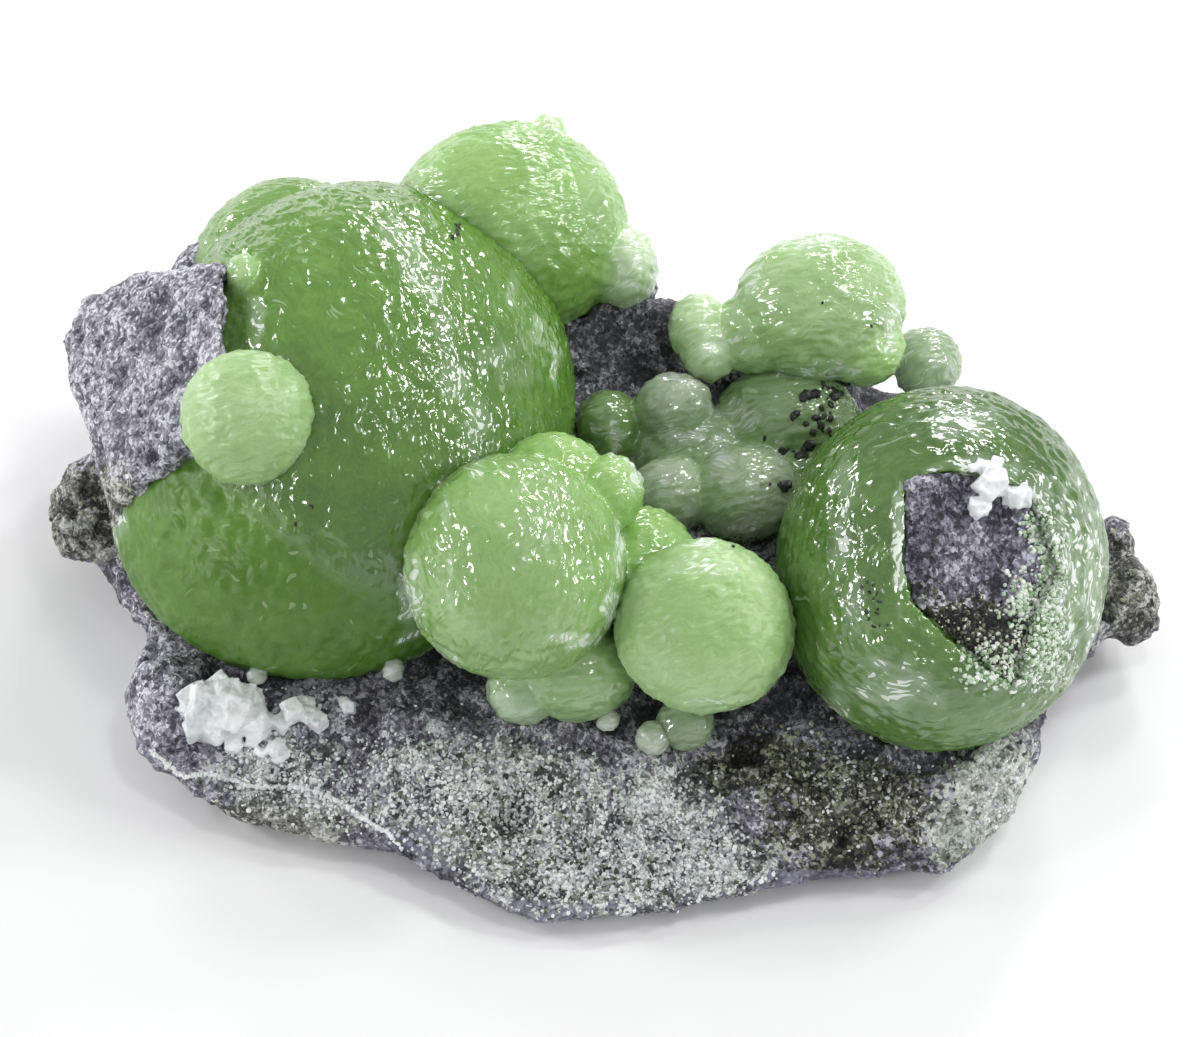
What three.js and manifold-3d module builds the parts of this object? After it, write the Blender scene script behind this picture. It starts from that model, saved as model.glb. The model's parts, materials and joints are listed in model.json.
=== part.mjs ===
// A cabinet specimen of green prehnite: round botryoidal masses grown on a broken slab of basalt.
// Millimetres, +Z up. The specimen rests on the flat underside of the basalt, and the side it is
// looked at from faces -Y, so the viewer looks along +Y and down.
import * as THREE from "three";
import { mergeVertices } from "three/addons/utils/BufferGeometryUtils.js";
import { ImprovedNoise } from "three/addons/math/ImprovedNoise.js";
import Module from "manifold-3d";

const wasm = await Module();
wasm.setup();

// Viewing side. Places on the display side are given as they are seen from it: millimetres across
// and up in the plane of view, and the height above the base.
const viewElevation = THREE.MathUtils.degToRad(50);
const viewDistance = 600;
const viewMidHeight = 20;

// Slab
const slabCentre = new THREE.Vector2(0, 2);
const slabSegments = 38;
const groundGap = 0.3; // clearance that every piece keeps to the rock and to its neighbours

// Rock texture: amplitude and size of its lumps
const rockSwell = { size: 9, depth: 1.0 };
const rockGrit = { size: 3.4, depth: 0.55 };

// Finish of each kind of piece
const finishes = {
  basalt: { color: 0x6c6874, roughness: 0.95 },
  deepGreen: { color: 0x5d8f36, roughness: 0.35 },
  paleGreen: { color: 0x9fce80, roughness: 0.4 },
  glassyGreen: { color: 0x7f9c78, roughness: 0.25 },
  white: { color: 0xe9ecee, roughness: 0.4 },
};

const noise = new ImprovedNoise();
const cosView = Math.cos(viewElevation);
const sinView = Math.sin(viewElevation);
const towardsViewer = new THREE.Vector3(0, -cosView, sinView);
const upInView = new THREE.Vector3(0, sinView, cosView);

// The line of sight through (across, up): it starts in the plane of view and steps towards the viewer.
function sightLine(across, up) {
  const inView = new THREE.Vector3(across, 0, 0).addScaledVector(upInView, up);
  return {
    start: inView.clone().add(new THREE.Vector3(0, 0, viewMidHeight)),
    step: towardsViewer.clone().addScaledVector(inView, -1 / viewDistance),
  };
}

// The point that is seen at (across, up) and lies at this height.
function seen(across, up, height) {
  const { start, step } = sightLine(across, up);
  return start.addScaledVector(step, (height - start.z) / step.z);
}

// The point that is seen at (across, up) and stands this far out of a host ball's near side.
function perched(across, up, host, rise) {
  const { start, step } = sightLine(across, up);
  const scale = new THREE.Vector3(1 / host.radii[0], 1 / host.radii[1], 1 / host.radii[2]);
  const from = start.clone().sub(host.at).multiply(scale);
  const along = step.clone().multiply(scale);
  const [a, b, c] = [along.dot(along), from.dot(along), from.dot(from) - 1];
  const nearest = (-b + Math.sqrt(Math.max(b * b - a * c, 0))) / a;
  return start.addScaledVector(step, nearest + rise);
}

// Solids

function solidOf(geometry) {
  const bare = geometry.clone();
  bare.deleteAttribute("normal");
  bare.deleteAttribute("uv");
  const merged = mergeVertices(bare, 1e-4);
  return new wasm.Manifold(
    new wasm.Mesh({
      numProp: 3,
      vertProperties: merged.attributes.position.array,
      triVerts: new Uint32Array(merged.index.array),
    }),
  );
}

function joined(solids) {
  return solids.reduce((whole, next) => whole.add(next));
}

// The largest body of a solid: cutting can leave crumbs, which are dropped.
function mainBody(solid) {
  return solid.decompose().reduce((a, b) => (a.volume() > b.volume() ? a : b));
}

function meshOf(name, solid, finish) {
  const made = mainBody(solid).getMesh();
  const positions = new Float32Array(made.numVert * 3);
  for (let i = 0; i < made.numVert; i++) {
    positions.set(made.vertProperties.subarray(i * made.numProp, i * made.numProp + 3), i * 3);
  }
  const geometry = new THREE.BufferGeometry();
  geometry.setAttribute("position", new THREE.BufferAttribute(positions, 3));
  geometry.setIndex(new THREE.BufferAttribute(made.triVerts, 1));
  geometry.computeVertexNormals();
  const mesh = new THREE.Mesh(geometry, new THREE.MeshStandardMaterial(finish));
  mesh.name = name;
  return mesh;
}

// Moves every vertex of a geometry by a function of its place.
function reshaped(geometry, move) {
  const places = geometry.attributes.position;
  const p = new THREE.Vector3();
  for (let i = 0; i < places.count; i++) {
    move(p.fromBufferAttribute(places, i));
    places.setXYZ(i, p.x, p.y, p.z);
  }
  return geometry;
}

// Prehnite balls

// A gentle unevenness, so that no ball is a perfect sphere.
function unevenness(d, seed) {
  const a = Math.sin(2.3 * d.x + 1.7 * seed) * Math.sin(2.1 * d.y + 2.9 * seed);
  const b = Math.sin(3.1 * d.z + 1.1 * seed + 1.4 * d.x);
  return 0.014 * a + 0.009 * b;
}

// One ball or lobe. radii are its half sizes along X, Y and Z.
function ball({ at, radii, seed, detail }, grow = 0) {
  const geometry = reshaped(new THREE.IcosahedronGeometry(1, detail), (p) => {
    p.normalize();
    const swell = 1 + unevenness(p, seed);
    p.set(
      at.x + p.x * (radii[0] * swell + grow),
      at.y + p.y * (radii[1] * swell + grow),
      at.z + p.z * (radii[2] * swell + grow),
    );
  });
  return solidOf(geometry);
}

function cluster(lobes, grow = 0) {
  return joined(lobes.map((lobe) => ball(lobe, grow)));
}

// Basalt

function rockRoughness(p, seed) {
  const at = (size) => noise.noise(p.x / size + seed, p.y / size - seed, p.z / size + 0.37 * seed);
  return rockSwell.depth * at(rockSwell.size) + rockGrit.depth * at(rockGrit.size);
}

// A broken lump of rock: an icosahedron worn to a lump, with flat breaks. Each break is
// [normal x, y, z, distance of the flat from the middle].
function boulder({ at, radii, seed, breaks = [], detail }, grow = 0) {
  const flats = breaks.map(([x, y, z, reach]) => {
    return { normal: new THREE.Vector3(x, y, z).normalize(), reach };
  });
  const worn = (direction, extra) => {
    const p = new THREE.Vector3(...radii).addScalar(extra).multiply(direction);
    for (const { normal, reach } of flats) {
      const over = p.dot(normal) - reach - extra;
      if (over > 0) p.addScaledVector(normal, -0.94 * over);
    }
    return p.add(at);
  };
  const geometry = reshaped(new THREE.IcosahedronGeometry(1, detail), (p) => {
    const outward = p.clone().normalize();
    const rough = rockRoughness(worn(outward, 0), seed);
    p.copy(worn(outward, grow)).addScaledVector(outward, rough);
  });
  return solidOf(geometry);
}

// The slab's plan, as [x, y] round its edge, clockwise from the back.
const slabPlan = [
  [4, 30], [14, 28], [22, 25.5], [29, 23.5], [35, 20], [40, 14.5], [44.5, 10], [47.5, 6], [47.5, 1],
  [44.5, -3], [41.2, -7], [39.4, -10.5], [39.6, -14], [38, -18], [35.3, -22.5], [32.1, -25.3],
  [28.4, -27.7], [21.8, -27.1], [13.7, -28.1], [8.4, -30.6], [5.7, -31], [1.2, -30.2], [-2.3, -32.8],
  [-5.9, -31.9], [-9.4, -30.6], [-13.9, -27.5], [-18.4, -24.5], [-23.8, -22.7], [-28.3, -22.8],
  [-31.9, -21.9], [-38.2, -18.3], [-41.2, -15.1], [-44, -12.2], [-43.5, -9], [-41, -5], [-42, 0],
  [-45.5, 5], [-49, 9], [-48.5, 14], [-46.5, 20], [-44.5, 26], [-38, 30], [-28, 32], [-16, 35],
  [-6, 35], [0, 33],
];

// Spot heights of its upper face, as [x, y, height].
const spotHeights = [
  [-43, -12, 6.5], [-38, -16, 6], [-30, -19.5, 5], [-20, -22.5, 4.5], [-11, -27, 4],
  [-4, -30.5, 3.5], [3, -28, 4], [7, -29, 3.5], [13, -26, 4], [21, -25.5, 4], [29, -25.5, 4.5],
  [36, -21, 6], [40, -17, 10], [-36, -10, 9], [-30, -13, 9], [-15, -16, 10], [0, -21, 9.5],
  [10, -20, 9.5], [20, -19, 9.5], [32, -19, 10], [-20, 0, 12], [0, -8, 12], [15, -8, 12],
  [30, -5, 12], [8, 8, 12.5], [-5, 22, 17], [5, 22, 17], [20, 20, 16], [30, 16, 13], [-30, 18, 15],
  [-10, 32, 14], [6, 27, 16], [24, 23, 12], [40, 8, 9], [46, 2, 8], [-43, 5, 8], [-38, 28, 14],
  [12, 15, 14],
];

// Rings of the slab from the middle of the top, round the edge, to the middle of the base:
// [reach towards the edge, share of the height].
const slabRings = [
  [0, 1], [0.4, 1], [0.64, 1], [0.8, 1], [0.92, 1], [1, 0.93], [1.005, 0.6], [0.92, 0], [0, 0],
];

// Distance from the slab's centre to its edge, in the direction of this angle.
function slabReach(angle) {
  const [dx, dy] = [Math.cos(angle), Math.sin(angle)];
  let reach = 0;
  slabPlan.forEach(([ax, ay], i) => {
    const [bx, by] = slabPlan[(i + 1) % slabPlan.length];
    const [px, py, ex, ey] = [ax - slabCentre.x, ay - slabCentre.y, bx - ax, by - ay];
    const cross = dx * ey - dy * ex;
    const along = (px * ey - py * ex) / cross;
    const share = (px * dy - py * dx) / cross;
    if (share >= 0 && share <= 1 && along > 0) reach = Math.max(reach, along);
  });
  return reach;
}

function slabHeight(x, y) {
  let [sum, weights] = [0, 0];
  for (const [sx, sy, height] of spotHeights) {
    const weight = 1 / ((x - sx) ** 2 + (y - sy) ** 2 + 2) ** 2;
    sum += weight * height;
    weights += weight;
  }
  return sum / weights;
}

// The slab is turned on a lathe as rings and then drawn out to its plan.
function slab(grow = 0) {
  const profile = slabRings.map(([reach, level]) => new THREE.Vector2(reach, level));
  const turned = new THREE.LatheGeometry(profile.reverse(), slabSegments).rotateX(Math.PI / 2);
  const geometry = reshaped(turned, (p) => {
    const [reach, level, angle] = [Math.hypot(p.x, p.y), p.z, Math.atan2(p.y, p.x)];
    const [dx, dy] = [Math.cos(angle), Math.sin(angle)];
    const far = reach * slabReach(angle);
    const [x, y] = [slabCentre.x + far * dx, slabCentre.y + far * dy];
    const rough = rockRoughness(new THREE.Vector3(x, y, level * 12), 3.1);
    const out = (level > 0 && level < 0.9 ? 1.2 * rough : 0) + Math.min(1, 2 * reach) * grow;
    const height = level * (slabHeight(x, y) + rough);
    p.set(x + out * dx, y + out * dy, level > 0 ? height + level * grow : -grow);
  });
  return solidOf(geometry);
}

// Lumps of the same rock that stand on the slab or out of its edge.
const rockLumps = [
  // the wedge at the left end: a speckled break slopes from the large ball down to the left
  {
    at: seen(-41, 10.5, 18), radii: [16, 18, 28], seed: 5, detail: 3,
    breaks: [
      [-0.76, -0.12, 0.64, 6.1], [1, 0.02, 0.05, 8.5], [-1, 0, 0, 8], [-0.93, -0.28, -0.24, 6.2],
      [-0.6, 0.61, 0.51, 11.2], [0, 0.77, 0.64, 12.2], [0, 1, 0, 10.5], [0.1, -1, 0, 15],
      [0, 0, 1, 18.4], [0, 0, -1, 14.2],
    ],
  },
  // the foot under it
  { at: seen(-39.6, 7.4, 9), radii: [6.6, 9.5, 8], seed: 6, detail: 1 },
  // the tail of the left end
  {
    at: seen(-46.4, 0.9, 7.5), radii: [3.6, 5.4, 4.6], seed: 8, detail: 2,
    breaks: [[0.1, -0.6, 0.8, 3]],
  },
  // the corner of the front ledge
  {
    at: seen(-38.9, -17, 6), radii: [4.6, 5.2, 5], seed: 11, detail: 2,
    breaks: [[-0.6, -0.5, 0.6, 3.4]],
  },
  // the dark block in the saddle between the balls at the back
  {
    at: seen(1.6, 16.2, 17), radii: [7.2, 6.5, 6.5], seed: 14, detail: 3,
    breaks: [[0.1, -0.55, 0.83, 3], [1, -0.2, 0, 4.4], [0, 0.77, 0.64, 3.7], [-0.5, 0.6, 0.5, 4.4]],
  },
  // the rib between the middle cluster and the right-hand ball
  { at: seen(19.2, 9, 14), radii: [3.8, 5.8, 5.8], seed: 17, detail: 2 },
  // the chips at the right end
  {
    at: seen(46.9, -7.1, 6.5), radii: [3.6, 4.4, 4.4], seed: 20, detail: 2,
    breaks: [[0.8, 0.3, 0.4, 2.9], [0.4, -0.8, 0.4, 3.2]],
  },
  { at: seen(45.4, -1.9, 8), radii: [2.4, 2.6, 2.8], seed: 21, detail: 1 },
  // the shoulder behind the left ball
  { at: seen(-34.6, 19.6, 16), radii: [5.6, 6, 8.2], seed: 23, detail: 1 },
  // the knob behind the back ball
  { at: seen(1.2, 20.6, 15), radii: [3.6, 4, 8], seed: 26, detail: 1 },
];

// The right-hand ball grew over a knob of rock. The top of the ball has broken away and shows the knob.
const breakNormal = new THREE.Vector3(0.16, -0.6, 0.78).normalize();
const breakReach = 13; // from the middle of the ball to the plane of the break
const knobRecess = 0.6; // the knob's face lies this far below that plane
const knobTop = 22; // of the knob before it is cut, from the plane of view towards the viewer
const knobLength = 12; // and from there back into the slab
const knobStep = new THREE.Vector3(-0.1, -0.85, 0.5).normalize(); // the deeper break of its lower part
const knobOutline = [ // as seen: across, up
  [27, 3.9], [30, 4.5], [33.2, 4.5], [37.9, 2.7], [39.4, 0.1], [41, -4.8], [39, -8], [38.1, -10.7],
  [37.2, -15], [34, -13.2], [30.9, -10.7], [27.5, -7.2], [26.7, -3.5], [26.9, 0.1],
];

// The lobes of each prehnite mass

const leftUpper = { at: seen(-21.7, 10.4, 20), radii: [19.3, 23.2, 17.4], seed: 1, detail: 4 };
const leftLower = { at: seen(-26.4, 0.6, 16), radii: [18.3, 15.8, 13.8], seed: 2, detail: 3 };
const centreBall = { at: seen(-8.4, -4.2, 23), radii: [10.1, 10.3, 10.1], seed: 6, detail: 3 };
const backBall = { at: seen(-8.8, 25.9, 24), radii: [11.3, 10.3, 10.3], seed: 4, detail: 3 };
const leftMass = [
  leftUpper,
  leftLower,
  { at: seen(-28, 21.2, 18), radii: [9.9, 9.6, 10.6], seed: 3, detail: 1 },
  backBall,
  { at: perched(-5.3, 34.9, backBall, -1), radii: [1.9, 1.9, 1.7], seed: 21, detail: 1 },
  { at: seen(1.6, 22.6, 22.5), radii: [3.3, 3.6, 4.6], seed: 5, detail: 1 },
  { at: perched(-32.1, 9.3, leftUpper, 0.4), radii: [6.2, 6.2, 6.1], seed: 7, detail: 2 },
  { at: perched(-32.5, 21.9, leftUpper, -0.6), radii: [1.7, 2.4, 2.4], seed: 8, detail: 1 },
  centreBall,
  { at: perched(0.5, 2.6, centreBall, -1.5), radii: [3.1, 3.5, 3.4], seed: 9, detail: 1 },
  { at: seen(-4.9, 3.6, 25.5), radii: [5.2, 4.4, 4.4], seed: 10, detail: 1 },
  { at: seen(3, -4.4, 17.5), radii: [5.4, 6, 5.6], seed: 11, detail: 2 },
  { at: seen(-2.6, -13.4, 13.6), radii: [5.6, 4.8, 4.9], seed: 12, detail: 1 },
  { at: seen(-7.6, -15.2, 12.3), radii: [3.3, 3.3, 3.2], seed: 13, detail: 1 },
];
const frontBall = { at: seen(8.9, -9.5, 19.6), radii: [8.15, 7.9, 7.9], seed: 14, detail: 3 };
const rightBall = { at: seen(30.3, -4.2, 18.6), radii: [15, 17.4, 14.9], seed: 15, detail: 4 };
const upperRight = [
  { at: seen(19.2, 19.1, 23), radii: [8.1, 7.1, 6.8], seed: 16, detail: 2 },
  { at: seen(23.2, 15.6, 21.4), radii: [3.8, 3.8, 3.6], seed: 17, detail: 1 },
  { at: seen(14.2, 17, 21.4), radii: [4.8, 4.4, 4.3], seed: 22, detail: 1 },
  { at: seen(9.3, 15.6, 20.4), radii: [3.1, 3.3, 3.2], seed: 18, detail: 1 },
  { at: seen(8.3, 17.3, 21.3), radii: [2.9, 3.4, 3.3], seed: 19, detail: 1 },
];
const middleCluster = [
  { at: seen(0.3, 8.2, 15.5), radii: [3.2, 3.7, 4.1], seed: 30, detail: 1 },
  { at: seen(6.1, 10.2, 17.8), radii: [3.85, 3.4, 3.3], seed: 31, detail: 2 },
  { at: seen(15.9, 8.9, 14.2), radii: [6.3, 5.2, 5], seed: 32, detail: 2 },
  { at: seen(5.7, 2.3, 15.2), radii: [3.9, 3.6, 3.7], seed: 33, detail: 1 },
  { at: seen(12.5, 3, 15), radii: [5.1, 4.6, 4.6], seed: 34, detail: 1 },
  { at: seen(8.4, 6.2, 14), radii: [7, 4.6, 4.4], seed: 35, detail: 1 },
  { at: seen(17.4, 3.4, 13), radii: [3.8, 3.8, 4.2], seed: 36, detail: 1 },
];

// Small balls that stand by themselves on the rock: [name, across, up, height of the middle, radius].
const nodules = [
  ["glassy_nodule", 28.8, 14.2, 15.5, 3.4],
  ["ledge_nodule_large", 7.1, -18.1, 11.2, 2.7],
  ["ledge_nodule_milky", 4.2, -19.5, 10.9, 1.7],
  ["ledge_nodule_left", 0.1, -17.8, 11.2, 1.2],
  ["ledge_nodule_under_ball", -19.1, -13.4, 11.6, 1.15],
  ["ledge_nodule_far_left", -31.3, -13.8, 10.6, 1.1],
];

// White crystals: blunt blocks, [across, up, height, width, depth, thickness, turn, lean]. For the
// ones in the window the third number is the rise over the plane of the break.
const ledgeCrystals = [
  [-34.6, -17.4, 9.6, 6.2, 4.4, 2.6, 0.2, 0.15], [-31.6, -18.3, 9.2, 4, 3.6, 2.4, -0.5, 0.3],
  [-28.7, -18.6, 9.3, 3.4, 2.6, 2.2, 0.7, -0.2], [-33.4, -15.6, 10, 3.6, 2.8, 2.2, 0.9, 0.1],
  [-26.2, -17.6, 9.8, 2.6, 2.4, 2, 0.3, 0.4], [-30.4, -20.6, 8.2, 2.6, 2.2, 1.8, -0.2, 0.2],
];
const windowCrystals = [
  [34.6, 3.9, 0.2, 2.6, 2, 1.9, 0.3, 0.5], [36.7, 2.4, 0.2, 2.6, 2.2, 2, -0.4, 0.3],
  [33.3, 1.9, 0, 1.9, 2, 1.5, 0.1, 0.6],
];

function crystals(blocks, place) {
  return joined(
    blocks.map(([across, up, level, width, depth, thickness, turn, lean]) => {
      const block = new THREE.BoxGeometry(width, depth, thickness);
      block.applyMatrix4(new THREE.Matrix4().makeShear(0, 0, 0.18, 0, 0, 0));
      block.rotateX(lean).rotateZ(turn);
      const at = place(across, up, level);
      return solidOf(block.translate(at.x, at.y, at.z));
    }),
  );
}

// The point that is seen at (across, up) and lies this far over the plane of the break.
function onBreak(across, up, rise) {
  const { start, step } = sightLine(across, up);
  const below = breakReach + rise - start.clone().sub(rightBall.at).dot(breakNormal);
  return start.addScaledVector(step, below / step.dot(breakNormal));
}

// Everything on the far side of a plane, as a block to cut with.
function beyond(point, normal) {
  const reach = 120;
  const block = new THREE.BoxGeometry(reach, reach, reach).translate(0, 0, reach / 2);
  const turn = new THREE.Quaternion().setFromUnitVectors(new THREE.Vector3(0, 0, 1), normal);
  block.applyQuaternion(turn);
  return solidOf(block.translate(point.x, point.y, point.z));
}

// The knob runs from the window down its line of sight into the slab.
function knobColumn(grow) {
  const shrink = 1 - knobTop / viewDistance;
  const middle = new THREE.Vector2(33.6, -4.4).multiplyScalar(shrink);
  const outline = knobOutline.map(([across, up]) => {
    const corner = new THREE.Vector2(across, up).multiplyScalar(shrink).sub(middle);
    return corner.setLength(corner.length() + 1.3 * grow).add(middle);
  });
  const depth = knobTop + knobLength + grow;
  const prism = new THREE.ExtrudeGeometry(new THREE.Shape(outline), { depth, bevelEnabled: false });
  const across = new THREE.Vector3(1, 0, 0);
  prism.applyMatrix4(new THREE.Matrix4().makeBasis(across, upInView, towardsViewer));
  const foot = towardsViewer.clone().multiplyScalar(-knobLength - grow);
  return solidOf(prism.translate(foot.x, foot.y, foot.z + viewMidHeight));
}

function knob(grow = 0) {
  const face = rightBall.at.clone().addScaledVector(breakNormal, breakReach - knobRecess + grow);
  const step = seen(33, -9, 30.2).addScaledVector(knobStep, grow);
  return knobColumn(grow).subtract(beyond(face, breakNormal)).subtract(beyond(step, knobStep));
}

function basalt(grow = 0) {
  return joined([slab(grow), ...rockLumps.map((lump) => boulder(lump, grow)), knob(grow)]);
}

// Assembly

const rockClear = basalt(groundGap);
const leftClear = cluster(leftMass, groundGap);
const frontClear = ball(frontBall, groundGap);
const rightClear = ball(rightBall, groundGap);
const middleClear = cluster(middleCluster, groundGap);
const windowPoint = rightBall.at.clone().addScaledVector(breakNormal, breakReach);
const windowCut = beyond(windowPoint, breakNormal);

function without(solid, ...others) {
  return others.reduce((rest, other) => rest.subtract(other), solid);
}

const leftSolid = without(cluster(leftMass), rockClear, frontClear);
const frontSolid = without(ball(frontBall), rockClear);
const rightSolid = without(ball(rightBall), windowCut, knobColumn(groundGap), rockClear, frontClear);
const middleSolid = without(cluster(middleCluster), rockClear, leftClear, rightClear, frontClear);
const upperSolid = without(cluster(upperRight), rockClear, middleClear, leftClear, rightClear);

const specimen = new THREE.Group();
specimen.add(
  meshOf("basalt_matrix", basalt(), finishes.basalt),
  meshOf("prehnite_left_mass", leftSolid, finishes.deepGreen),
  meshOf("prehnite_front_ball", frontSolid, finishes.paleGreen),
  meshOf("prehnite_right_ball", rightSolid, finishes.deepGreen),
  meshOf("prehnite_middle_cluster", middleSolid, finishes.glassyGreen),
  meshOf("prehnite_upper_right_pair", upperSolid, finishes.paleGreen),
);

let taken = frontClear.add(leftClear).add(rightClear).add(middleClear);
nodules.forEach(([name, across, up, height, radius], i) => {
  const radii = [radius, radius, radius];
  const form = { at: seen(across, up, height), radii, seed: 40 + i, detail: 1 };
  const solid = without(ball(form), rockClear, taken);
  specimen.add(meshOf(`prehnite_${name}`, solid, finishes.glassyGreen));
  taken = taken.add(ball(form, groundGap));
});

const ledgeSolid = without(crystals(ledgeCrystals, seen), rockClear, taken);
const shellClear = rightClear.subtract(windowCut);
const windowSolid = without(crystals(windowCrystals, onBreak), rockClear, shellClear);
specimen.add(
  meshOf("calcite_crystals_on_ledge", ledgeSolid, finishes.white),
  meshOf("calcite_crystals_in_window", windowSolid, finishes.white),
);

// The origin is the middle of the underside.
const bounds = new THREE.Box3().setFromObject(specimen);
const middle = bounds.getCenter(new THREE.Vector3());
specimen.position.set(-middle.x, -middle.y, -bounds.min.z);

export default specimen;
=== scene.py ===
import json
import math
import random

import bmesh
import bpy
import numpy as np
from mathutils import Euler, Matrix, Vector, noise
from mathutils.bvhtree import BVHTree

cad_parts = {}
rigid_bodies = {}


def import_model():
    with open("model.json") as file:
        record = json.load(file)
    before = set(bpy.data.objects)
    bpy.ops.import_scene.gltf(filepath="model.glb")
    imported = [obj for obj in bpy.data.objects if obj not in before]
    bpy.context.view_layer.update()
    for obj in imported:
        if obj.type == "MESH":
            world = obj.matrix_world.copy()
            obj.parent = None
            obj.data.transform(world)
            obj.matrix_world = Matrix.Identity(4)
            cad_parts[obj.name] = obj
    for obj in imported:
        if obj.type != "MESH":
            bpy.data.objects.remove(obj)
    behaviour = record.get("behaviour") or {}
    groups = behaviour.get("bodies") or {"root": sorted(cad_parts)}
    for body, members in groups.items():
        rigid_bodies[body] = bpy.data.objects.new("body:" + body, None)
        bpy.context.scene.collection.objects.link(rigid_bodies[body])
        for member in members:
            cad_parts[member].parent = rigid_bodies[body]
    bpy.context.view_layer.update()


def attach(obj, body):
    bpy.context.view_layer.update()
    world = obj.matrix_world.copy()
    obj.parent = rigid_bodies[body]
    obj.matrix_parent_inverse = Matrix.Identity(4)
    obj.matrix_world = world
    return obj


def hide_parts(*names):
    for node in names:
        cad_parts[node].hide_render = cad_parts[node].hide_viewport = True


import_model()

# Places on the display side are given as they are seen from it, as in the solids: millimetres
# across and up in the plane of view, and the height above the base. Pieces are made in
# millimetres and brought to metres at the end.
viewElevation = math.radians(50)
viewDistance = 600
viewMidHeight = 20
viewWidth = 1200 * 0.08985  # what the picture spans: 1200 pixels of 0.08985 mm
originShift = Vector((0.165, -4.869, 0))  # from the design's origin to the middle of the underside
towardsViewer = Vector((0, -math.cos(viewElevation), math.sin(viewElevation)))
upInView = Vector((0, math.sin(viewElevation), math.cos(viewElevation)))


def sightLine(across, up):
    inView = Vector((across, 0, 0)) + upInView * up
    return inView + Vector((0, 0, viewMidHeight)), towardsViewer - inView / viewDistance


def seen(across, up, height):  # a place in the frame
    start, step = sightLine(across, up)
    return start + step * ((height - start.z) / step.z) + originShift


def perched(across, up, host, rise):  # on a ball, where the viewer's sight meets it
    start, step = sightLine(across, up)
    start = start + originShift
    scale = Vector([1 / r for r in host["radii"]])
    origin = (start - host["at"]) * scale
    along = step * scale
    a, b, c = along.dot(along), origin.dot(along), origin.dot(origin) - 1
    nearest = (-b + math.sqrt(max(b * b - a * c, 0))) / a
    return start + step * (nearest + rise)


def asSeen(points):  # across and up, for an array of points in millimetres
    local = points - np.array(originShift) - np.array((0, 0, viewMidHeight))
    nearer = 1 - (local @ np.array(towardsViewer)) / viewDistance
    return local[:, 0] / nearer, (local @ np.array(upInView)) / nearer


def reachOf(across, up, place):  # 0 at the middle of a place as seen, 1 at its edge
    px, py, rx, ry = place
    return np.hypot((across - px) / rx, (up - py) / ry)


# Mesh helpers

def newObject(name, bm):
    mesh = bpy.data.meshes.new(name)
    bm.to_mesh(mesh)
    bm.free()
    piece = bpy.data.objects.new(name, mesh)
    bpy.context.collection.objects.link(piece)
    return piece


def remeshed(piece, voxel):
    modifier = piece.modifiers.new("even", "REMESH")
    modifier.mode = "VOXEL"
    modifier.voxel_size = voxel
    modifier.use_smooth_shade = True
    graph = bpy.context.evaluated_depsgraph_get()
    mesh = bpy.data.meshes.new_from_object(piece.evaluated_get(graph))
    piece.modifiers.clear()
    old = piece.data
    piece.data = mesh
    mesh.name = piece.name
    bpy.data.meshes.remove(old)


def smoothed(piece, times):
    bm = bmesh.new()
    bm.from_mesh(piece.data)
    axes = {"use_axis_x": True, "use_axis_y": True, "use_axis_z": True}
    for _ in range(times):
        bmesh.ops.smooth_vert(bm, verts=bm.verts, factor=0.5, **axes)
    bm.to_mesh(piece.data)
    bm.free()


def addedTo(bm, small):  # many small meshes are joined this way, which is much quicker
    scrap = bpy.data.meshes.new("scrap")
    small.to_mesh(scrap)
    small.free()
    bm.from_mesh(scrap)
    bpy.data.meshes.remove(scrap)


def perVertex(piece, key):  # "co" or "normal", as an array
    values = np.empty(len(piece.data.vertices) * 3, np.float32)
    piece.data.vertices.foreach_get(key, values)
    return values.reshape(-1, 3).astype(float)


def setPlaces(piece, values):
    piece.data.vertices.foreach_set("co", values.astype(np.float32).ravel())
    piece.data.update()


def attribute(piece, name, values):
    layer = piece.data.attributes.new(name, "FLOAT", "POINT")
    layer.data.foreach_set("value", np.asarray(values, np.float32))


def noiseAt(points, size, seed):
    offset = Vector((seed * 17.3, seed * -9.1, seed * 5.7))
    return np.array([noise.noise(Vector(p) / size + offset) for p in points])


surfaces = {}  # what small things can be set on: piece name to a search tree, in millimetres


def remember(piece):
    bm = bmesh.new()
    bm.from_mesh(piece.data)
    surfaces[piece.name] = BVHTree.FromBMesh(bm)
    bm.free()


def firstHit(across, up, hosts=None):  # place and normal of what the viewer sees there
    start, step = sightLine(across, up)
    step = step.normalized()
    origin = start + originShift + step * 150  # well in front of everything
    best = None
    for name, tree in surfaces.items():
        place, normal, _, distance = tree.ray_cast(origin, -step)
        if place is not None and (best is None or distance < best[3]):
            best = (place, normal, name, distance)
    if best is None or (hosts and best[2] not in hosts):
        return None
    return best[:2]


def finished(piece, material, slot, *nodes, smooth=True):
    piece.data.transform(Matrix.Scale(0.001, 4))
    piece.data.materials.clear()
    piece.data.materials.append(material)
    piece.data.polygons.foreach_set("use_smooth", [smooth] * len(piece.data.polygons))
    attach(piece, "root")
    if nodes:
        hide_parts(*nodes)
    print("made", piece.name, len(piece.data.polygons), flush=True)


# Material helpers. Patterns are in millimetres, so a node's scale is in cells per millimetre.

def linear(hexColour):
    parts = [int(hexColour[i:i + 2], 16) / 255 for i in (0, 2, 4)]
    return [p / 12.92 if p <= 0.04045 else ((p + 0.055) / 1.055) ** 2.4 for p in parts] + [1]


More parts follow.
